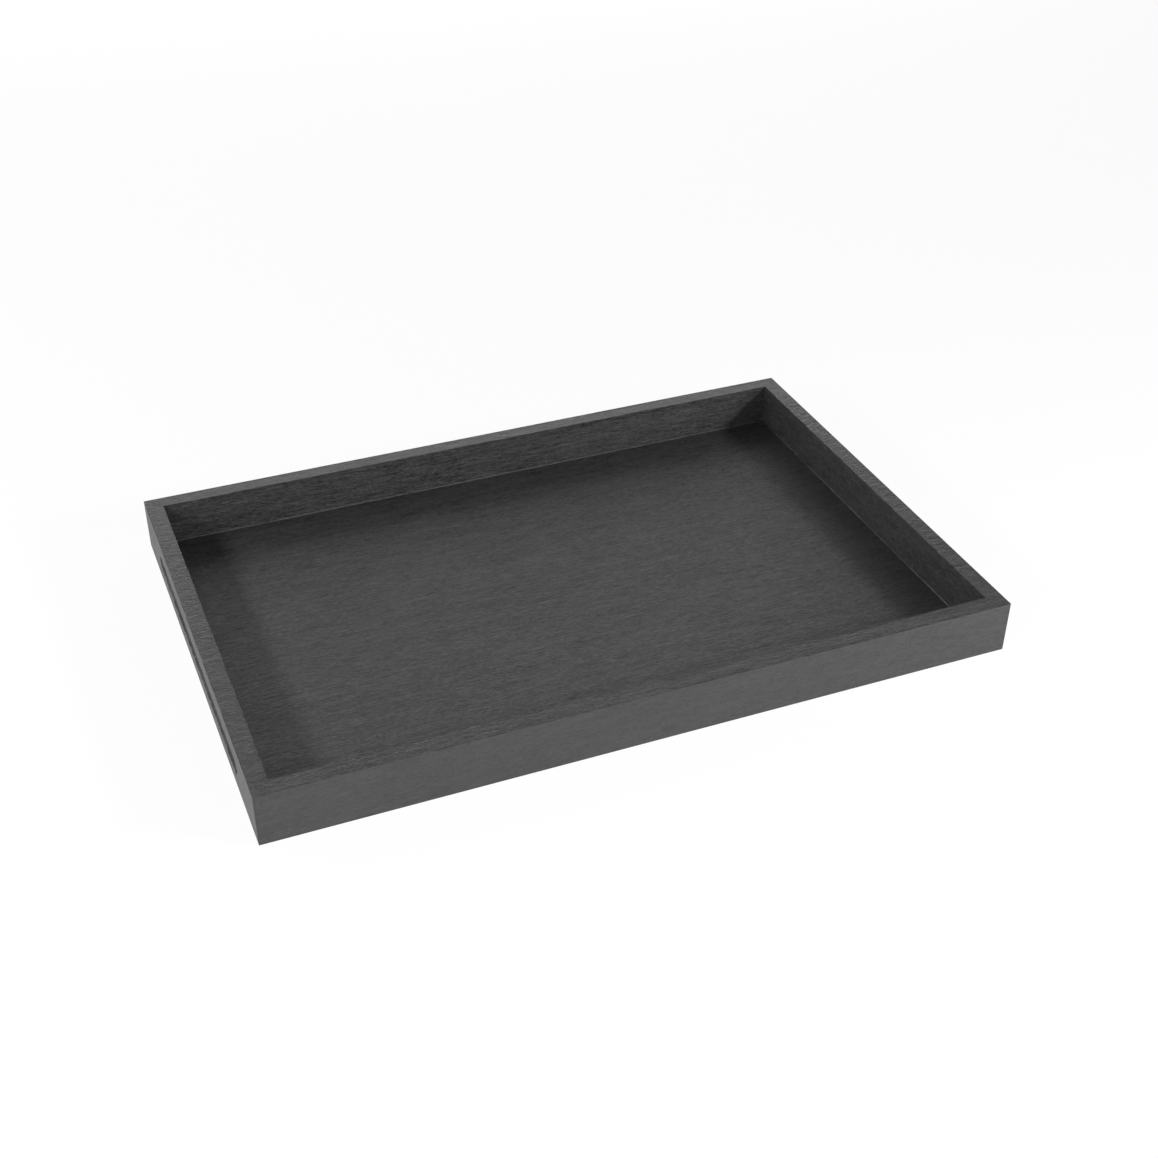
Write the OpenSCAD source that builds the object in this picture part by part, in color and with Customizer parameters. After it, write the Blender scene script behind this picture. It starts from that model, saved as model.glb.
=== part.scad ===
/* [Tray] */
// Outside length of the tray, along X
tray_l = 600; // [450:10:700]
// Outside width of the tray, along Y
tray_w = 400; // [300:10:500]
// Height of the rim above the table
rail_h = 44.5; // [40:0.5:60]
// Thickness of the four rails
rail_t = 14.4; // [12:0.2:20]
// Width of the small bevel on every outer edge
arris = 0.4; // [0.3:0.1:1]

/* [Floor] */
// Height of the floor's upper face above the table
floor_top = 7.5; // [7:0.5:12]
// Thickness of the floor panel
panel_t = 5; // [3:0.5:6]
// Depth of the groove that holds the panel
housing_d = 6; // [4:0.5:8]
// Gap between the panel's edge and the bottom of its groove
panel_gap = 0.5; // [0.2:0.1:1]
// Play between the panel and the top of its groove
panel_play = 0.1; // [0.05:0.05:0.3]
// Width of the bevelled toe where the rails meet the floor
toe = 0.8; // [0.5:0.1:2]

/* [Finger grips] */
// Distance from the tray's corners to the ends of a grip
grip_margin = 58; // [30:1:80]
// Height of a grip's opening
grip_h = 14; // [13:0.5:16]
// Depth of a grip, no more than half its height
grip_d = 6.4; // [5:0.1:6.5]
// Height of a grip's middle above the table
grip_z = 20; // [18:0.5:24]
// Width of the bevel round a grip's opening
grip_ease = 1; // [0.5:0.1:1.5]

/* [Corner splines] */
// Thickness of a spline
spline_t = 3; // [2:0.5:4]
// Width of a spline, across the mitre
spline_w = 10; // [8:0.5:14]
// Height of a spline
spline_h = 24; // [16:1:28]
// Distance from the inner corner to a spline's middle, along the mitre
spline_inset = 7.5; // [6:0.5:9]
// Clearance on each cheek of a spline
spline_fit = 0.05; // [0.02:0.01:0.1]
// Clearance at the edges and ends of a spline
spline_gap = 0.3; // [0.1:0.1:1]

/* [Hidden] */
$fn = 64;
// Overrun of every cut past the face that it starts from
cut = 1;
// Depth of the whole rail section, toe included
section_d = rail_t + toe;
// Underside of the floor panel, where it lies on the rails
panel_z = floor_top - panel_t;
// Upper face of the groove that holds the panel
housing_top = floor_top + panel_play;
// Length and width of the panel, out to its edges in the grooves
panel_inset = rail_t - housing_d + panel_gap;
panel_l = tray_l - 2 * panel_inset;
panel_w = tray_w - 2 * panel_inset;
// Radius of the round-nosed bit that leaves a grip of this height and depth, and how far the
// middle of its nose stays outside the face
grip_r = (grip_h * grip_h / 4 + grip_d * grip_d) / (2 * grip_d);
grip_out = grip_r - grip_d;
// Straight run between a grip's round ends
grip_run = tray_w - 2 * grip_margin - grip_h;
// Middle of a spline: along the diagonal from the outer corner, and above the table
spline_s = rail_t * sqrt(2) - spline_inset;
spline_z = (floor_top + rail_h) / 2;
// Colours of the stained wood and of the bare splines
stain = [0.27, 0.27, 0.27];
stain_floor = [0.25, 0.25, 0.25];
bare_wood = [0.72, 0.58, 0.4];

// Section of a rail: X runs inward from the outer face, Y is height
module rail_section() {
    polygon([
        [0, arris],
        [arris, 0],
        [rail_t - arris, 0],
        [rail_t, arris],
        [rail_t, panel_z],
        [rail_t - housing_d, panel_z],
        [rail_t - housing_d, housing_top],
        [section_d, housing_top],
        [rail_t, housing_top + toe],
        [rail_t, rail_h - arris],
        [rail_t - arris, rail_h],
        [arris, rail_h],
        [0, rail_h - arris],
    ]);
}

// Plan of a rail, mitred at both ends, with its outer corners bevelled
module mitre_plan(run) {
    half = run / 2;
    polygon([
        [arris - half, 0],
        [half - arris, 0],
        [half - arris / 2, arris / 2],
        [half - section_d, section_d],
        [section_d - half, section_d],
        [arris / 2 - half, arris / 2],
    ]);
}

// Socket for a spline in the corner where a rail of this run ends
module spline_socket(run, end) {
    translate([end * run / 2, 0, spline_z])
        rotate([0, 0, 90 + end * 45])
            translate([spline_s, 0, 0])
                cube([spline_t + 2 * spline_fit, spline_w + 2 * spline_gap,
                    spline_h + 2 * spline_gap], center = true);
}

// A rail along X, with its outer face on the XZ plane and its inner face towards +Y
module rail(run) {
    difference() {
        intersection() {
            rotate([90, 0, 90])
                linear_extrude(run, center = true)
                    rail_section();
            linear_extrude(rail_h)
                mitre_plan(run);
        }
        for (end = [-1, 1])
            spline_socket(run, end);
    }
}

// Section of a grip: X is height about its middle, Y is depth from the outer face
module grip_section() {
    half = grip_h / 2;
    mouth = half + grip_ease;
    intersection() {
        union() {
            translate([0, -grip_out])
                circle(grip_r);
            polygon([
                [-mouth, -cut],
                [mouth, -cut],
                [mouth, 0],
                [half - grip_ease, grip_ease],
                [grip_ease - half, grip_ease],
                [-mouth, 0],
            ]);
        }
        translate([-grip_h, -cut])
            square([2 * grip_h, grip_d + 2 * cut]);
    }
}

// Cutter for a grip, as a round-nosed bit would leave it, running inward from the XZ plane
module grip_cutter() {
    rotate([-90, 0, 0]) {
        rotate([90, 0, 90])
            linear_extrude(grip_run, center = true)
                grip_section();
        for (end = [-1, 1])
            translate([end * grip_run / 2, 0, 0])
                rotate([0, 0, -90 * end])
                    rotate_extrude(angle = 180)
                        intersection() {
                            grip_section();
                            translate([0, -cut])
                                square([grip_h, grip_d + 2 * cut]);
                        }
    }
}

// A short rail with the finger grip in its outer face
module grip_rail() {
    difference() {
        rail(tray_w);
        translate([0, 0, grip_z])
            grip_cutter();
    }
}

module front_rail() {
    color(stain)
        translate([0, -tray_w / 2, 0])
            rail(tray_l);
}

module back_rail() {
    color(stain)
        translate([0, tray_w / 2, 0])
            rotate([0, 0, 180])
                rail(tray_l);
}

module left_rail() {
    color(stain)
        translate([-tray_l / 2, 0, 0])
            rotate([0, 0, -90])
                grip_rail();
}

module right_rail() {
    color(stain)
        translate([tray_l / 2, 0, 0])
            rotate([0, 0, 90])
                grip_rail();
}

module floor_panel() {
    color(stain_floor)
        translate([-panel_l / 2, -panel_w / 2, panel_z])
            cube([panel_l, panel_w, panel_t]);
}

// A loose tongue across one mitre; side_x and side_y say which corner
module corner_spline(side_x, side_y) {
    color(bare_wood)
        translate([side_x * tray_l / 2, side_y * tray_w / 2, spline_z])
            rotate([0, 0, side_x * side_y * 45])
                translate([-side_x * spline_s, 0, 0])
                    cube([spline_t, spline_w, spline_h], center = true);
}

front_rail();
back_rail();
left_rail();
right_rail();
floor_panel();
corner_spline(-1, -1);  // spline_front_left
corner_spline(1, -1);  // spline_front_right
corner_spline(-1, 1);  // spline_back_left
corner_spline(1, 1);  // spline_back_right
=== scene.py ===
"""Dark stained wooden tray: its rails and floor, their finishes, the ground, light and camera.

Everything is in metres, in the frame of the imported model: the origin is the middle of the tray's
footprint on the ground, X runs along the long side, Y towards the back and Z up.
"""
import math

import bmesh
import bpy
import numpy as np
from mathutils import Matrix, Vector
from mathutils.geometry import delaunay_2d_cdt


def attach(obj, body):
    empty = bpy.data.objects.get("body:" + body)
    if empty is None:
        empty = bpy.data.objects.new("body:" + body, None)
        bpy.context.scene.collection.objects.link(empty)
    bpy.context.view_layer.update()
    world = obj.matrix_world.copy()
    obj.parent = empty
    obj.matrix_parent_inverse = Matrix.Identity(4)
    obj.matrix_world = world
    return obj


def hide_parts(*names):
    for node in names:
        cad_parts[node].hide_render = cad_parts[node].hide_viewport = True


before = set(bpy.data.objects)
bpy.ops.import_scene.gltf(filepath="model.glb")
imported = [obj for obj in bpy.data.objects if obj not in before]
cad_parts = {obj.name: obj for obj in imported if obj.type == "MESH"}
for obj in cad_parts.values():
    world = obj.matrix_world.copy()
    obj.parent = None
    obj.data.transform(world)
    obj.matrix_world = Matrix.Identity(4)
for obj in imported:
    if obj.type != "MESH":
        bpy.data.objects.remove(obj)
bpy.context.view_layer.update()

MM = 0.001

# Sizes of the tray, as in the part's source
TRAY_L, TRAY_W, RAIL_H, RAIL_T = 600 * MM, 400 * MM, 44.5 * MM, 14.4 * MM
ARRIS, TOE = 0.4 * MM, 0.8 * MM
FLOOR_TOP, PANEL_T, HOUSING_D = 7.5 * MM, 5 * MM, 6 * MM
PANEL_GAP, PANEL_PLAY = 0.5 * MM, 0.1 * MM
GRIP_MARGIN, GRIP_H, GRIP_D, GRIP_Z, GRIP_EASE = 58 * MM, 14 * MM, 6.4 * MM, 20 * MM, 1 * MM
SPLINE_T, SPLINE_W, SPLINE_H, SPLINE_INSET = 3 * MM, 10 * MM, 24 * MM, 7.5 * MM
SPLINE_FIT, SPLINE_GAP = 0.05 * MM, 0.3 * MM

PANEL_Z = FLOOR_TOP - PANEL_T
HOUSING_TOP = FLOOR_TOP + PANEL_PLAY
PANEL_INSET = RAIL_T - HOUSING_D + PANEL_GAP

# Faces of a rail and of the floor panel, which are also their material slots
OUTER, RIM, INNER, UNDER = range(4)
PANEL_TOP, PANEL_UNDER = range(2)

# Fineness of the meshes
SUPPORT = 0.15 * MM       # distance of the loops that keep a flat face flat next to a rounding
ARRIS_STEPS = 3           # segments of a rounded arris
CORNER_STEPS = 3          # segments of half an upright corner, out to the mitre
GRIP_STEPS = 16           # segments of a quarter turn in the finger grips
EASE_STEPS = 6            # segments of a grip's rounded mouth
PLAIN_STEP = 4 * MM       # size of the faces on the rails' outer sides
UNDER_STEP = 20 * MM      # size of the faces on the panel's underside
PANEL_STEP_ALONG = 4.5 * MM
PANEL_STEP_ACROSS = 0.65 * MM
GRIP_CLEAR = 1.5 * MM     # least distance from a grip's mouth to the points of the face round it

# Tolerances
NEAR = 1e-9               # lengths that differ by less are equal
WELD = 2e-7               # vertices closer than this become one
SLIVER = 1e-8             # edges shorter than this are dissolved
SHARP = math.radians(38)  # an edge that turns by more than this stays sharp

# Relief of the brushed wood
LATTICE = 256             # cells after which the noise repeats
WANDER = 1.2 * MM         # how far the fibres wander to either side
WANDER_ALONG, WANDER_ACROSS = 55 * MM, 20 * MM            # size of those swings
FIBRES = ((0.8, 15, 2.1), (1.0, 7, 1.3), (0.3, 44, 6.5))  # weight, length and width in mm
FIBRE_GAIN = 0.34         # share of the depth that a swing of 1 makes
PANEL_DEPTH = 0.14 * MM   # depth of the floor's relief
PANEL_FADE = 2 * MM       # length over which it dies out at the panel's edges
MITRE_DEPTH = 0.14 * MM   # depth of the rims' relief at a mitre, where two rails meet flush
FADE = 3 * MM             # length next to a mitre over which a rail's own rim depth goes over
                          # to that depth, and the walls' relief dies out
RIM_FIBRES = dict(length=0.5, width=0.9)
RIM_SEED, PANEL_SEED = 11, 23

# Shades laid on the stain's colour, most of them painted light and shade: above 0 is darker, below
# 0 paler
CORNER_TONE = 0.25        # on the upright outer corners
# painted shade where the inner wall meets the rim, fading downwards
WALL_TOP_SHADE = 0.35          # at the top of an inner wall
WALL_TOP_SHADE_H = 9 * MM      # height over which that fades
LOW_WALL = 12 * MM        # depth below the rim from which a wall has the whole of its painted light and shade
TOE_CLEAR = 22 * MM       # length at a corner without painted light on the toe, and then of its fading


# ---------------------------------------------------------------- relief

def lattice_noise(u, v, seed):
    """Smooth noise from -1 to 1 with features about one unit across, the same at every run."""
    table = np.random.default_rng(seed).uniform(-1, 1, (LATTICE, LATTICE))
    u0, v0 = np.floor(u).astype(int), np.floor(v).astype(int)
    fu, fv = u - u0, v - v0
    fu, fv = fu * fu * (3 - 2 * fu), fv * fv * (3 - 2 * fv)  # a smooth step from cell to cell
    u0, v0, u1, v1 = u0 % LATTICE, v0 % LATTICE, (u0 + 1) % LATTICE, (v0 + 1) % LATTICE
    a = table[u0, v0] * (1 - fu) + table[u1, v0] * fu
    b = table[u0, v1] * (1 - fu) + table[u1, v1] * fu
    return a * (1 - fv) + b * fv


def brushed(along, across, depth, seed, length=1.0, width=1.0):
    """Depth below the nominal face of wire-brushed wood, from 0 to about depth.

    length and width scale its fibres."""
    drift = lattice_noise(along / WANDER_ALONG, across / WANDER_ACROSS, seed)
    across = across + WANDER * drift
    u, v = along / (length * MM), across / (width * MM)
    g = 0
    for i, (weight, fibre_l, fibre_w) in enumerate(FIBRES, start=1):
        g = g + weight * lattice_noise(u / fibre_l, v / fibre_w, seed + i)
    return depth * np.clip(0.5 + FIBRE_GAIN * g, 0, 1)


# ---------------------------------------------------------------- mesh helpers

class Build:
    """Collects vertices and faces, and welds them into one closed mesh."""

    def __init__(self):
        self.verts, self.faces, self.kinds, self.edge = [], [], [], []

    def add(self, points, edge=0.0):
        """Adds vertices; edge is the shade laid on the stain there, much of it painted light and
        shade, as one number or one each.
        """
        start = len(self.verts)
        self.verts.extend(map(tuple, points))
        self.edge.extend(np.broadcast_to(edge, len(points)))
        return list(range(start, start + len(points)))

    def face(self, ids, kind):
        self.faces.append(tuple(ids))
        self.kinds.append(kind)

    def strip(self, row_a, row_b, kind, closed=False):
        """Joins two rows of vertices by a band of faces."""
        n = len(row_a)
        for i in range(n if closed else n - 1):
            j = (i + 1) % n
            self.face((row_a[i], row_a[j], row_b[j], row_b[i]), kind)

    def patch(self, ids, flat, kind, hole=None, inside=None):
        """Fills the loop ids, which lies at the 2-D points flat, round a hole (ids, flat points).

        inside holds further (ids, flat points) that the triangles pass through."""
        all_ids, pts, edges = [], [], []

        def take(ids, flat, is_loop):
            k, m = len(pts), len(flat)
            pts.extend(Vector(p) for p in flat)
            all_ids.extend(ids)
            if is_loop:
                edges.extend((k + i, k + (i + 1) % m) for i in range(m))

        take(ids, flat, True)
        if hole:
            take(*hole, True)
        if inside:
            take(*inside, False)
        out = delaunay_2d_cdt(pts, edges, [], 0, NEAR)
        new_pts, tris, origin = out[0], out[2], out[3]
        names = [all_ids[o[0]] for o in origin]
        middles = np.array([[sum(new_pts[i][k] for i in t) / len(t) for k in (0, 1)]
                            for t in tris])
        keep = within(middles, flat)
        if hole:
            keep &= ~within(middles, hole[1])
        for t, wanted in zip(tris, keep):
            if wanted:
                self.face([names[i] for i in t], kind)

    def mesh(self, name, materials):
        """Makes the object, welded, facing outwards and smooth except at its sharp edges."""
        data = bpy.data.meshes.new(name)
        data.from_pydata(self.verts, [], self.faces)
        for m in materials:
            data.materials.append(m)
        data.polygons.foreach_set("material_index", self.kinds)
        shade = data.attributes.new("edge", "FLOAT", "POINT")
        shade.data.foreach_set("value", np.array(self.edge, np.float32))
        bm = bmesh.new()
        bm.from_mesh(data)
        bmesh.ops.remove_doubles(bm, verts=bm.verts, dist=WELD)
        bmesh.ops.dissolve_degenerate(bm, edges=bm.edges, dist=SLIVER)
        bmesh.ops.recalc_face_normals(bm, faces=bm.faces)
        for f in bm.faces:
            f.smooth = True
        for e in bm.edges:
            e.smooth = len(e.link_faces) == 2 and e.calc_face_angle(0) < SHARP
        bm.to_mesh(data)
        bm.free()
        data.update()
        piece = bpy.data.objects.new(name, data)
        bpy.context.scene.collection.objects.link(piece)
        return piece


def within(points, loop):
    """Which of these 2-D points lie inside a closed loop."""
    x, y = points[:, 0], points[:, 1]
    hit = np.zeros(len(points), bool)
    for i in range(len(loop)):
        (xa, ya), (xb, yb) = loop[i][:2], loop[i - 1][:2]
        if ya != yb:
            hit ^= ((ya > y) != (yb > y)) & (x < (xb - xa) * (y - ya) / (yb - ya) + xa)
    return hit


def spread(low, high, step):
    """Evenly spaced values from low to high, both ends in, about step apart."""
    return np.linspace(low, high, max(2, int(round(abs(high - low) / step)) + 1))


def arc(cx, cy, r, start, stop, steps):
    """Points of an arc, both ends in; angles in degrees."""
    a = np.radians(np.linspace(start, stop, steps + 1))
    return [(cx + r * math.cos(t), cy + r * math.sin(t)) for t in a]


# ---------------------------------------------------------------- rails

def rail_section(rim_step, inner_step, has_grip):
    """Closed section of a rail: [(inset from the outer face, height)], and each segment's face."""
    r, t, h = ARRIS, RAIL_T, RAIL_H
    pts, kinds = [], []

    def run(points, kind):
        for p in points:
            if pts and math.dist(p, pts[-1]) < NEAR:
                continue
            if pts:
                kinds.append(kind)
            pts.append(p)

    def straight(a, b, step, kind):
        length = math.dist(a, b)
        stops = [0, SUPPORT, *spread(2 * SUPPORT, length - 2 * SUPPORT, step),
                 length - SUPPORT, length]
        run([(a[0] + (b[0] - a[0]) * s / length, a[1] + (b[1] - a[1]) * s / length)
             for s in stops], kind)

    run(arc(r, r, r, 270, 180, ARRIS_STEPS), UNDER)
    if has_grip:
        # the middle one of these faces makes room for the grip's own mesh
        run([(0, r), (0, r + SUPPORT), (0, h - r - SUPPORT), (0, h - r)], OUTER)
    else:
        straight((0, r), (0, h - r), PLAIN_STEP, OUTER)
    run(arc(r, h - r, r, 180, 90, ARRIS_STEPS), RIM)
    straight((r, h), (t - r, h), rim_step, RIM)
    run(arc(t - r, h - r, r, 90, 0, ARRIS_STEPS), RIM)
    straight((t, h - r), (t, HOUSING_TOP + TOE), inner_step, INNER)
    run([(t, HOUSING_TOP + TOE), (t + TOE / 2, HOUSING_TOP + TOE / 2), (t + TOE, HOUSING_TOP)],
        INNER)
    run([(t - HOUSING_D, HOUSING_TOP), (t - HOUSING_D, PANEL_Z), (t, PANEL_Z), (t, r)], UNDER)
    run(arc(t - r, r, r, 0, -90, ARRIS_STEPS), UNDER)
    run([(t - r, 0), ((t + r) / 2, 0), (r, 0)], UNDER)
    pts.pop()
    return pts, kinds


def section_parts(d0, z0):
    """Which points of a section lie on its outer face, arrises, rim, inner wall and toe."""
    in_rail, on_inside = d0 < RAIL_T + NEAR, d0 > RAIL_T - NEAR
    face = d0 < ARRIS + NEAR
    arris = (in_rail & (np.minimum(d0, RAIL_T - d0) < ARRIS + NEAR)
             & (np.minimum(z0, RAIL_H - z0) < ARRIS + NEAR))
    rim = in_rail & (z0 > RAIL_H - NEAR)
    wall = on_inside & (z0 > HOUSING_TOP + 2 * TOE)
    toe = on_inside & (z0 > HOUSING_TOP + NEAR) & (z0 < HOUSING_TOP + TOE + NEAR)
    return face, arris, rim, wall, toe


def relief_shares(d0, z0):
    """How much of the rim's and of the inner wall's relief each point of a section takes.

    The rim's dies out down its arrises and is weaker near them. The wall's dies out up its
    arris and at its toe."""
    at_edge, edge_run = 0.4, 3 * MM
    rim = np.clip((z0 - RAIL_H + 4 * ARRIS) / (3 * ARRIS), 0, 1)
    rim *= np.clip(at_edge + np.minimum(d0, RAIL_T - d0) / edge_run, at_edge, 1)
    wall = np.clip((d0 - RAIL_T + ARRIS) / ARRIS, 0, 1)
    wall *= (z0 > HOUSING_TOP) & (d0 < RAIL_T + NEAR)
    wall *= np.clip((RAIL_H - z0) / ARRIS, 0, 1)
    return rim, wall


def mitre_fade(t, half):
    """1 along a rail, 0 at its mitres."""
    return np.clip((1 - abs(t)) * half / FADE, 0, 1)


def even(x):
    """No painted light or shade along a wall."""
    return 0


def painted_light_right(x):
    """Painted light and shade low on a wall: a little darker, but paler along its right half where
    more light falls there, though not in the shaded corner itself.
    """
    start, rise, end, fall = 20 * MM, 110 * MM, 272 * MM, 25 * MM
    plain, paler = 0.1, 0.6
    share = np.minimum(np.clip((x - start) / rise, 0, 1), np.clip((end - x) / fall, 0, 1))
    return plain - paler * share


def make_rail(name, place, seed, rim_depth, run_length, step, rim_step, inner_step, has_grip,
              wall_relief, outer_arris, rim_lines, painted_toe_light, toe_to_left, materials, painted_wall_light=even):
    """A rail with its outer face towards local -Y, placed by the function place(x, y).

    outer_arris is the shade of the rim's outer arris, where the other arrises have 1. rim_lines
    are soft dark lines along the rim: inset from the outer face, half width and shade; a line at
    the rim's inner edge is painted shade. The shade given for the toe is painted light, a painted
    highlight below 0 and painted shade above; it reaches the tray's left corner if toe_to_left is
    true, and otherwise stops short of both corners. The wall's function of x gives the painted
    light and shade low on the inner wall."""
    half = run_length / 2
    section, kinds = rail_section(rim_step, inner_step, has_grip)
    d0 = np.array([p[0] for p in section])
    z0 = np.array([p[1] for p in section])
    rim_share, wall_share = relief_shares(d0, z0)
    on_face, on_arris, on_rim, on_wall, on_toe = section_parts(d0, z0)

    # shades that are the same all along the rail: the rim's lines, of which the one at its inner
    # edge is painted shade, painted shade at the top of the inner wall, and where the wall's
    # painted light goes
    arris_tone = np.where(on_face & (z0 > RAIL_H / 2), outer_arris, 1.0)
    soft = sum(tone * np.clip(1 - abs(d0 - inset) / width, 0, 1)
               for inset, width, tone in rim_lines) * on_rim
    soft += WALL_TOP_SHADE * np.clip(1 - (RAIL_H - z0) / WALL_TOP_SHADE_H, 0, 1) * on_wall
    low_wall = np.clip((RAIL_H - z0) / LOW_WALL, 0, 1) * on_wall

    # sections follow one another from the left mitre to the right one, in local X, and turn
    # round the upright corner at each end; t goes from -1 to 1
    stations = [(-1, a) for a in np.linspace(45, 0, CORNER_STEPS + 1)[:-1]]
    stations += [(t, None) for t in spread(-1, 1, step / half)]
    stations += [(1, a) for a in np.linspace(0, 45, CORNER_STEPS + 1)[1:]]
    first, last = CORNER_STEPS, len(stations) - 1 - CORNER_STEPS

    b = Build()
    rows = []
    for t, angle in stations:
        fade = mitre_fade(t, half)
        along = t * (half - np.maximum(d0, ARRIS))
        d = d0 - brushed(along, z0 + seed, seed=seed, **wall_relief) * wall_share * fade
        reach = half - np.maximum(d, ARRIS)
        if angle is None:
            x, y = t * reach, d
        else:
            a = math.radians(angle)
            rounding = np.maximum(ARRIS - d, 0)
            x = t * (reach + rounding * math.sin(a))
            y = np.where(d < ARRIS, ARRIS - rounding * math.cos(a), d)
        wx, wy = place(x, y)
        rim = MITRE_DEPTH + (rim_depth - MITRE_DEPTH) * fade
        z = z0 - brushed(wx, wy, rim, RIM_SEED, **RIM_FIBRES) * rim_share
        # painted light: on the toe, stopping short of a shaded corner, and low on the wall
        clear = half - wx if toe_to_left else (1 - abs(t)) * half
        toe_share = np.clip((clear - TOE_CLEAR) / TOE_CLEAR, 0, 1) * on_toe
        shade = soft + painted_wall_light(wx) * low_wall + painted_toe_light * toe_share
        if abs(t) == 1:
            shade = np.where(on_face, CORNER_TONE, shade)
        rows.append(b.add(np.stack([wx, wy, z], 1), np.where(on_arris, arris_tone, shade)))

    grip_gap = kinds.index(OUTER) + 1 if has_grip else None
    for i, (row, following) in enumerate(zip(rows, rows[1:])):
        for k, kind in enumerate(kinds):
            if k == grip_gap and first <= i < last:
                continue
            j = (k + 1) % len(kinds)
            b.face((row[k], following[k], following[j], row[j]), kind)

    for row, end in ((rows[0], -1), (rows[-1], 1)):
        mitre_face(b, row, end, half, place, section)
    if has_grip:
        grip_face(b, rows[first:last + 1], grip_gap, half, place, section)
    piece = b.mesh(name, materials)
    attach(piece, "root")
    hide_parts(name)


def mitre_face(b, row, end, half, place, section):
    """The mitred end of a rail, with the socket that takes half a spline."""
    root2 = math.sqrt(2)
    middle = RAIL_T * root2 - SPLINE_INSET
    z_mid = (FLOOR_TOP + RAIL_H) / 2
    half_t, half_w = SPLINE_T / 2 + SPLINE_FIT, SPLINE_W / 2 + SPLINE_GAP
    half_h = SPLINE_H / 2 + SPLINE_GAP
    corners = [(middle - half_t, z_mid - half_h), (middle + half_t, z_mid - half_h),
               (middle + half_t, z_mid + half_h), (middle - half_t, z_mid + half_h)]

    def at(s, depth, z):
        """A point s along the mitre from the outer corner, and so deep behind it."""
        x = end * (half - s / root2 - depth / root2)
        y = s / root2 - depth / root2
        wx, wy = place(np.array([x]), np.array([y]))
        return (wx[0], wy[0], z)

    mouth = b.add([at(s, 0, z) for s, z in corners])
    bottom = b.add([at(s, half_w, z) for s, z in corners])
    flat = [(root2 * d if d >= ARRIS else root2 * ARRIS - (ARRIS - d), z) for d, z in section]
    b.patch(row, flat, UNDER, hole=(mouth, corners))
    b.strip(mouth, bottom, UNDER, closed=True)
    b.face(bottom, UNDER)


def grip_face(b, rows, gap, half, place, section):
    """The outer face of a short rail round its finger grip, and the grip itself.

    They fill the rows' gap between the points gap and gap + 1 of the section."""
    reach = half - GRIP_MARGIN - GRIP_H / 2
    r = GRIP_H / 2
    nose = (r * r + GRIP_D * GRIP_D) / (2 * GRIP_D)
    along = spread(-reach, reach, PLAIN_STEP)
    # the grip's outline: where each ray starts on its middle line, and the ray's direction
    outline = [(x, -90) for x in along[:-1]]
    outline += [(reach, a) for a in np.linspace(-90, 90, 2 * GRIP_STEPS + 1)[:-1]]
    outline += [(x, 90) for x in along[::-1][:-1]]
    outline += [(-reach, a) for a in np.linspace(90, 270, 2 * GRIP_STEPS + 1)[:-1]]
    outline = [(x, math.radians(a)) for x, a in outline]

    def flat_ring(radius):
        return [(x + radius * math.cos(a), GRIP_Z + radius * math.sin(a)) for x, a in outline]

    def ring(radius, depth, edge):
        flat = flat_ring(radius)
        wx, wy = place(np.array([p[0] for p in flat]), np.full(len(flat), depth))
        return b.add([(wx[i], wy[i], p[1]) for i, p in enumerate(flat)], edge)

    # radius and depth of the rings: a rounded mouth, then the arc that the round-nosed bit leaves
    mouth = r + GRIP_EASE
    turn = math.asin(min(1, r / nose)) - GRIP_EASE / nose
    arc_r, arc_d = nose * math.sin(turn), GRIP_D - nose + nose * math.cos(turn)
    profile = [(mouth + SUPPORT, 0), (mouth, 0)]
    profile += [((1 - t) ** 2 * mouth + 2 * t * (1 - t) * r + t * t * arc_r, t * t * arc_d)
                for t in np.linspace(0, 1, EASE_STEPS + 1)[1:]]
    profile += [(nose * math.sin(q), GRIP_D - nose + nose * math.cos(q))
                for q in np.linspace(turn, 0, GRIP_STEPS + 1)[1:]]
    on_mouth = [0] + [1] * (EASE_STEPS + 1) + [0] * GRIP_STEPS
    rings = [ring(max(radius, 0), depth, edge)
             for (radius, depth), edge in zip(profile, on_mouth)]
    for outer, inner in zip(rings, rings[1:]):
        b.strip(outer, inner, OUTER, closed=True)

    bottom = [row[gap] for row in rows]
    top = [row[gap + 1] for row in reversed(rows)]
    z_low, z_high = section[gap][1], section[gap + 1][1]
    xs = [t * (half - ARRIS) for t in np.linspace(-1, 1, len(rows))]
    loop = [(x, z_low) for x in xs] + [(x, z_high) for x in reversed(xs)]
    clear = mouth + SUPPORT + GRIP_CLEAR
    grid_x = spread(-half + PLAIN_STEP, half - PLAIN_STEP, PLAIN_STEP)
    grid = [(x, z) for z in spread(z_low, z_high, PLAIN_STEP)[1:-1] for x in grid_x
            if math.dist((x, z), (max(-reach, min(reach, x)), GRIP_Z)) > clear]
    wx, wy = place(np.array([g[0] for g in grid]), np.zeros(len(grid)))
    ids = b.add([(wx[i], wy[i], g[1]) for i, g in enumerate(grid)])
    b.patch(bottom + top, loop, OUTER, hole=(rings[0], flat_ring(profile[0][0])),
            inside=(ids, grid))


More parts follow.
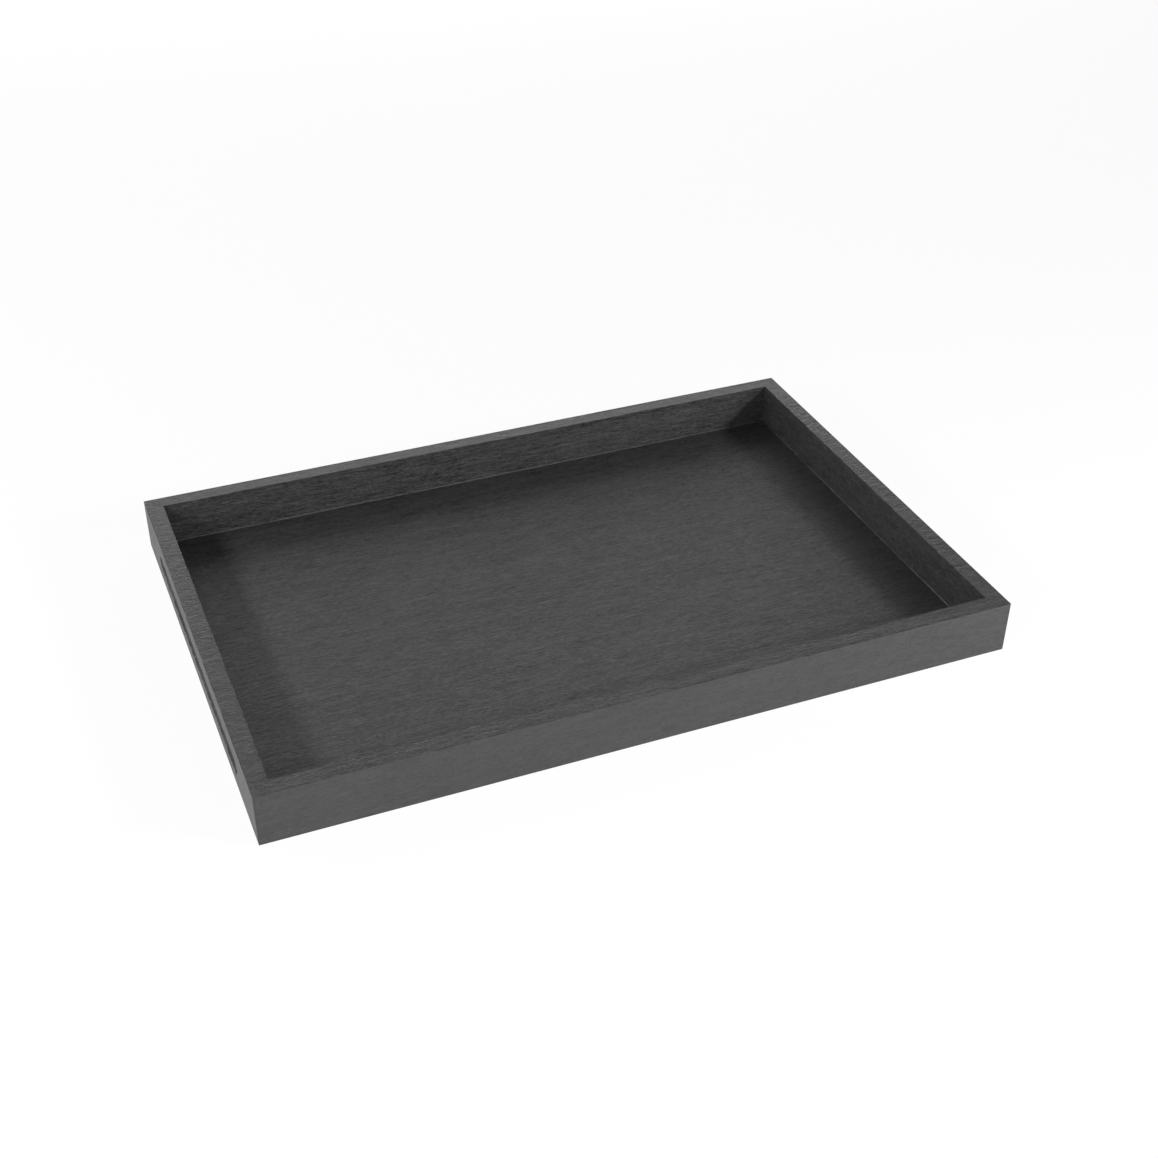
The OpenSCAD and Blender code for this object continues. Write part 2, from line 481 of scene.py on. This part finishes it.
def make_panel(name, materials):
    """The floor: brushed on top, plain below, its edges hidden in the rails' groove."""
    hx, hy = TRAY_L / 2 - PANEL_INSET, TRAY_W / 2 - PANEL_INSET
    xs, ys = spread(-hx, hx, PANEL_STEP_ALONG), spread(-hy, hy, PANEL_STEP_ACROSS)
    fade_x = np.clip((hx - abs(xs)) / PANEL_FADE, 0, 1)
    fade_y = np.clip((hy - abs(ys)) / PANEL_FADE, 0, 1)
    gx, gy = np.meshgrid(xs, ys)
    relief = brushed(gx, gy, PANEL_DEPTH, PANEL_SEED)
    z = FLOOR_TOP - relief * np.minimum.outer(fade_y, fade_x)
    b = Build()
    rows = [b.add(np.stack([gx[i], gy[i], z[i]], 1)) for i in range(len(ys))]
    for lower, upper in zip(rows, rows[1:]):
        b.strip(lower, upper, PANEL_TOP)
    loop = (rows[0] + [r[-1] for r in rows[1:-1]] + rows[-1][::-1]
            + [r[0] for r in rows[-2:0:-1]])
    flat = [b.verts[i][:2] for i in loop]
    under = b.add([(x, y, PANEL_Z) for x, y in flat])
    b.strip(loop, under, PANEL_UNDER, closed=True)
    grid = [(x, y) for x in spread(-hx, hx, UNDER_STEP)[1:-1]
            for y in spread(-hy, hy, UNDER_STEP)[1:-1]]
    ids = b.add([(x, y, PANEL_Z) for x, y in grid])
    b.patch(under, flat, PANEL_UNDER, inside=(ids, grid))
    piece = b.mesh(name, materials)
    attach(piece, "root")
    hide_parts(name)


# ---------------------------------------------------------------- materials

class Nodes:
    """Short calls for a node tree."""

    def __init__(self, tree):
        self.tree = tree

    def new(self, kind, **values):
        node = self.tree.nodes.new(kind)
        for key, value in values.items():
            setattr(node, key, value)
        return node

    def feed(self, socket, value):
        """Links another node's output to a socket, or sets a constant on it."""
        if isinstance(value, bpy.types.NodeSocket):
            self.tree.links.new(value, socket)
        else:
            socket.default_value = value

    def math(self, operation, a, b):
        node = self.new("ShaderNodeMath", operation=operation)
        self.feed(node.inputs[0], a)
        self.feed(node.inputs[1], b)
        return node.outputs[0]

    def total(self, *values):
        out = values[0]
        for value in values[1:]:
            out = self.math("ADD", out, value)
        return out

    def noise(self, vector, size, shift, detail, roughness=0.5):
        """Noise from 0 to 1 with features of this size in mm along X, Y and Z."""
        mapping = self.new("ShaderNodeMapping")
        self.feed(mapping.inputs["Vector"], vector)
        mapping.inputs["Scale"].default_value = [1 / MM / v for v in size]
        mapping.inputs["Location"].default_value = shift
        node = self.new("ShaderNodeTexNoise")
        self.feed(node.inputs["Vector"], mapping.outputs[0])
        node.inputs["Scale"].default_value = 1.0
        node.inputs["Detail"].default_value = detail
        node.inputs["Roughness"].default_value = roughness
        return node.outputs[0]

    def ramp(self, value, low, high):
        """0 up to low, 1 from high on, and a smooth step between them."""
        node = self.new("ShaderNodeMapRange", interpolation_type="SMOOTHSTEP")
        self.feed(node.inputs["Value"], value)
        node.inputs["From Min"].default_value = low
        node.inputs["From Max"].default_value = high
        return node.outputs[0]

    def bump(self, height, strength, distance):
        node = self.new("ShaderNodeBump")
        self.feed(node.inputs["Height"], height)
        node.inputs["Strength"].default_value = strength
        node.inputs["Distance"].default_value = distance
        return node.outputs[0]


# Layers of noise in the wood: length and width against a fibre's, and the noise's own settings
LAYERS = {
    "coarse": (4, 3, dict(detail=1)),
    "fibre": (1, 1, dict(detail=3, roughness=0.6)),
    "dash": (0.4, 0.8, dict(detail=1)),
    "fine": (0.5, 0.45, dict(detail=2, roughness=0.6)),
}
DRIFT_LAYER = (3, 7, dict(detail=1))
DRIFT = 1.6 * MM                                # how far the fibres wander across the grain
CLOUD_SIZE, PATCH_SIZE = (60, 45, 45), (9, 9, 9)
PORE_RAMP, PATCH_RAMP = (0.60, 0.72), (0.38, 0.56)
SEED_SHIFT = (3.1, 1.7, 0.9)                    # offset of all noise for each step of the seed
SPECULAR = 0.5
# Weights of the layers in the stain's brightness, the roughness and the height
TONE = {"fibre": 2.2, "dash": 2.2, "coarse": 1.2}
# TONE_EDGE weighs the mesh's shades, painted light and shade among them
TONE_CLOUD, TONE_PORE, TONE_EDGE, TONE_MIN = 2, -0.3, -0.45, 0.15
ROUGH = {"fibre": -0.22, "dash": -0.15}
ROUGH_PORE, ROUGH_EDGE, ROUGH_MAX = 0.1, 0.2, 0.95
HEIGHT = {"fibre": 0.6, "dash": 0.5, "coarse": 0.4}
HEIGHT_PORE, BUMP_DISTANCE = -0.25, 0.35 * MM


def wood(name, color, lengths, seed, roughness=0.5, streak=0.4, bump=0.5, mottle=0.15):
    """Stained, wire-brushed wood.

    lengths is the size of a fibre in mm along X, Y and Z. streak is the contrast of the fibres'
    colour, mottle that of the clouds in it, and bump the strength of their relief."""
    mat = bpy.data.materials.new(name)
    mat.use_nodes = True
    tree = mat.node_tree
    shader = tree.nodes["Principled BSDF"]
    n = Nodes(tree)
    place = n.new("ShaderNodeTexCoord").outputs["Object"]
    shift = [seed * step for step in SEED_SHIFT]
    longest = max(lengths)

    def layer(vector, along, across, settings):
        size = [v * (along if v == longest else across) for v in lengths]
        return n.noise(vector, size, shift, **settings)

    # the fibres wander a little to either side
    drift = n.new("ShaderNodeVectorMath", operation="MULTIPLY_ADD")
    n.feed(drift.inputs[0], layer(place, *DRIFT_LAYER))
    drift.inputs[1].default_value = [0 if v == longest else DRIFT for v in lengths]
    n.feed(drift.inputs[2], place)
    layers = {key: layer(drift.outputs[0], *kind) for key, kind in LAYERS.items()}
    cloud = n.noise(place, CLOUD_SIZE, shift, detail=3)
    pores = n.ramp(layers["fine"], *PORE_RAMP)

    def part(value, weight):
        """A noise's swing to either side of its middle."""
        return n.math("MULTIPLY", n.math("SUBTRACT", value, 0.5), weight)

    def parts(weights, scale=1):
        return [part(layers[key], weight * scale) for key, weight in weights.items()]

    # the mesh's own shades: dark lines at the arrises, corners and grip mouths, and painted light
    # and shade on rims, walls and toes; the dark ones are broken up, the light ones, all painted
    # light, are not
    edge = n.new("ShaderNodeAttribute", attribute_name="edge").outputs["Fac"]
    patchy = n.ramp(n.noise(place, PATCH_SIZE, shift, detail=3), *PATCH_RAMP)
    lighter = n.math("MINIMUM", edge, 0.0)
    darker = n.math("MULTIPLY", n.math("MAXIMUM", edge, 0.0), patchy)

    # colour: light and dark fibres, soft clouds in the stain, dark pores, the mesh's shades with
    # their painted light and shade
    tone = n.total(*parts(TONE, streak), part(cloud, TONE_CLOUD * mottle),
                   n.math("MULTIPLY", pores, TONE_PORE),
                   n.math("MULTIPLY", n.math("ADD", darker, lighter), TONE_EDGE), 1.0)
    stain = n.new("ShaderNodeVectorMath", operation="SCALE")
    stain.inputs[0].default_value = color
    n.feed(stain.inputs["Scale"], n.math("MAXIMUM", tone, TONE_MIN))
    n.feed(shader.inputs["Base Color"], stain.outputs[0])
    # gloss: the raised fibres are rubbed a little smoother than the pores
    rough = n.total(*parts(ROUGH), n.math("MULTIPLY", pores, ROUGH_PORE),
                    n.math("MULTIPLY", darker, ROUGH_EDGE), roughness)
    n.feed(shader.inputs["Roughness"], n.math("MINIMUM", rough, ROUGH_MAX))
    shader.inputs["Specular IOR Level"].default_value = SPECULAR
    height = n.total(*parts(HEIGHT), n.math("MULTIPLY", pores, HEIGHT_PORE))
    n.feed(shader.inputs["Normal"], n.bump(height, bump, BUMP_DISTANCE))
    return mat


def grey(value):
    """A neutral colour."""
    return (value, value, value)


# One stain on all the stained faces; its grey differs a little from face to face as painted light
# and shade, set so that each face comes out as bright as it should under these lamps
rim_wood = wood("stained_rim", grey(0.028), (6.5, 1.2, 1.2), seed=1, streak=0.8, bump=0.9)
floor_wood = wood("stained_floor", grey(0.033), (8, 1.5, 1.5), seed=2,
                  roughness=0.52, streak=0.65, bump=0.75)
back_wood = wood("stained_long_wall", grey(0.031), (7, 0.8, 0.8), seed=3, streak=1.2, bump=1.7)
side_wood = wood("stained_short_wall", grey(0.0305), (1.3, 8.5, 1.6), seed=4,
                 streak=0.9, bump=1.0)
face_wood = wood("stained_long_face", grey(0.034), (8, 1.2, 1.8), seed=5,
                 streak=0.3, bump=0.35)
end_wood = wood("stained_short_face", grey(0.028), (1.3, 8, 1.8), seed=6,
                streak=0.4, bump=0.35, mottle=0.35)
under_wood = wood("stained_under", grey(0.03), (8, 1.4, 1.4), seed=7,
                  roughness=0.55, streak=0.3, bump=0.4)
spline_wood = wood("bare_spline", (0.48, 0.3, 0.14), (2.2, 2.2, 12), seed=8,
                   roughness=0.6, streak=0.25, bump=0.4)


# ---------------------------------------------------------------- the tray

LONG_RAIL = dict(
    run_length=TRAY_L, step=2.4 * MM, rim_step=0.6 * MM, inner_step=0.45 * MM, has_grip=False,
    wall_relief=dict(depth=0.3 * MM, length=0.8, width=0.7),
    # the first rim line, at the inner edge, is painted shade; the second is a dark line near the
    # outer arris
    outer_arris=0.35, rim_lines=((RAIL_T, 1.5 * MM, 0.95), (1.7 * MM, 1.2 * MM, 0.4)),
    # a painted highlight on the toe
    painted_toe_light=-2.3, toe_to_left=True,
    materials=[face_wood, rim_wood, back_wood, under_wood])
SHORT_RAIL = dict(
    run_length=TRAY_W, step=0.8 * MM, rim_step=1.6 * MM, inner_step=1.1 * MM, has_grip=True,
    wall_relief=dict(depth=0.17 * MM, length=0.9, width=0.85),
    # the rim line at the inner edge is painted shade
    outer_arris=1.0, rim_lines=((RAIL_T, 2 * MM, 0.3),),
    # painted shade on the toe
    painted_toe_light=0.8, toe_to_left=False,
    materials=[end_wood, rim_wood, side_wood, under_wood])

make_rail("front_rail", lambda x, y: (x, y - TRAY_W / 2), seed=31, rim_depth=0.14 * MM,
          **LONG_RAIL)
# the back wall has painted light low on its right half
make_rail("back_rail", lambda x, y: (-x, TRAY_W / 2 - y), seed=37, rim_depth=0.14 * MM,
          painted_wall_light=painted_light_right, **LONG_RAIL)
make_rail("left_rail", lambda x, y: (y - TRAY_L / 2, -x), seed=41, rim_depth=0.18 * MM,
          **SHORT_RAIL)
make_rail("right_rail", lambda x, y: (TRAY_L / 2 - y, x), seed=43, rim_depth=0.28 * MM,
          **SHORT_RAIL)
make_panel("floor_panel", [floor_wood, under_wood])

for node in ("spline_front_left", "spline_front_right", "spline_back_left", "spline_back_right"):
    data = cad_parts[node].data
    data.materials.clear()
    data.materials.append(spline_wood)


# ---------------------------------------------------------------- ground and background

GROUND = (0.88, 0.88, 0.88, 1)
WHITE_SEEN = 0.92         # share of plain white in the ground as the camera sees it
WHITE_MIRRORED = 0.8      # and as the tray mirrors it
SKY_STRENGTH = 0.04


def make_stage(radius=4.0, ring_step=0.25, bend=0.8, bend_steps=12, height=1.6, around=96):
    """A pale floor that bends up into a low backdrop all round."""
    profile = [(0.0, 0.0)] + [(r, 0.0) for r in spread(ring_step, radius, ring_step)]
    profile += [(radius + bend * math.sin(a), bend * (1 - math.cos(a)))
                for a in np.radians(np.linspace(0, 90, bend_steps + 1)[1:])]
    profile += [(radius + bend, height)]
    b = Build()
    angles = np.linspace(0, 2 * math.pi, around + 1)[:-1]
    rows = [b.add([(r * math.cos(a), r * math.sin(a), z) for a in angles]) for r, z in profile]
    for inner, outer in zip(rows, rows[1:]):
        b.strip(inner, outer, 0, closed=True)
    mat = bpy.data.materials.new("pale_ground")
    mat.use_nodes = True
    tree = mat.node_tree
    n = Nodes(tree)
    shader = tree.nodes["Principled BSDF"]
    shader.inputs["Base Color"].default_value = GROUND
    shader.inputs["Roughness"].default_value = 1.0
    shader.inputs["Specular IOR Level"].default_value = 0.0
    white = n.new("ShaderNodeEmission")
    white.inputs["Strength"].default_value = 1.0
    path = n.new("ShaderNodeLightPath")
    seen = n.math("MAXIMUM", path.outputs["Is Camera Ray"], path.outputs["Is Transmission Ray"])
    mirrored = n.math("MULTIPLY", path.outputs["Is Glossy Ray"], WHITE_MIRRORED)
    mix = n.new("ShaderNodeMixShader")
    n.feed(mix.inputs[0], n.math("MAXIMUM", n.math("MULTIPLY", seen, WHITE_SEEN), mirrored))
    n.feed(mix.inputs[1], shader.outputs[0])
    n.feed(mix.inputs[2], white.outputs[0])
    n.feed(tree.nodes["Material Output"].inputs["Surface"], mix.outputs[0])
    stage = b.mesh("ground", [mat])


make_stage()

world = bpy.data.worlds.new("studio")
world.use_nodes = True
sky = world.node_tree.nodes["Background"]
sky.inputs["Color"].default_value = (1, 1, 1, 1)
sky.inputs["Strength"].default_value = SKY_STRENGTH
bpy.context.scene.world = world


# ---------------------------------------------------------------- lamps

def panel_lamp(name, place, target, width, height, radiance, glare=True):
    """A soft rectangular lamp at a place, facing a target; radiance is its brightness."""
    data = bpy.data.lights.new(name, "AREA")
    data.shape = "RECTANGLE"
    data.size, data.size_y = width, height
    data.energy = radiance * width * height * math.pi
    lamp = bpy.data.objects.new(name, data)
    lamp.location = place
    lamp.rotation_euler = (Vector(target) - Vector(place)).to_track_quat("-Z", "Y").to_euler()
    lamp.visible_camera = False
    lamp.visible_glossy = glare
    bpy.context.scene.collection.objects.link(lamp)


def wall_panel(name, azimuth, elevation, wide, high, radiance, distance=2.2):
    """A panel at a bearing from the tray's middle, so many degrees wide and high."""
    a, e = math.radians(azimuth), math.radians(elevation)
    place = (distance * math.cos(e) * math.cos(a), distance * math.cos(e) * math.sin(a),
             distance * math.sin(e))
    panel_lamp(name, place, (0, 0, 0), distance * math.radians(wide),
               distance * math.radians(high), radiance)


# The key light stands to the right in front, and two weaker ones to the left. The key light isn't
# mirrored, because from behind it would make the floor glare.
panel_lamp("key", place=(1.09, -1.0, 0.70), target=(0.29, -1.0, 0.045),
           width=0.5, height=0.18, radiance=118, glare=False)
panel_lamp("fill", place=(-1.09, -0.45, 0.70), target=(-0.29, -0.45, 0.045),
           width=0.2, height=0.18, radiance=83)
panel_lamp("fill_rear", place=(-1.09, 0.55, 0.70), target=(-0.29, 0.55, 0.045),
           width=0.5, height=0.18, radiance=18)

# Wide panels all round stand for the bright walls of the studio
wall_panel("back_low", azimuth=78, elevation=5, wide=62, high=10, radiance=5.6)
wall_panel("back_left_low", azimuth=125, elevation=5, wide=30, high=10, radiance=3.2)
wall_panel("back_high", azimuth=80, elevation=28, wide=80, high=36, radiance=1.25)
wall_panel("front_left_low", azimuth=235, elevation=7, wide=38, high=14, radiance=4.6)
wall_panel("front_low", azimuth=303, elevation=8.5, wide=60, high=10, radiance=4.5)


# ---------------------------------------------------------------- camera

# Lens, shift, place and bearing were fitted to the tray's edges in the photograph
CAMERA_PITCH, CAMERA_TURN = 35.359, 21.748

lens = bpy.data.cameras.new("camera")
lens.sensor_width = 36
lens.lens = 51.91
lens.shift_x, lens.shift_y = 0.01641, 0.01209
camera = bpy.data.objects.new("camera", lens)
camera.location = (-0.417, -1.04964, 0.8031)
camera.rotation_euler = (math.radians(90 - CAMERA_PITCH), 0, math.radians(-CAMERA_TURN))
bpy.context.scene.collection.objects.link(camera)
bpy.context.scene.camera = camera
bpy.context.scene.view_settings.view_transform = "Standard"
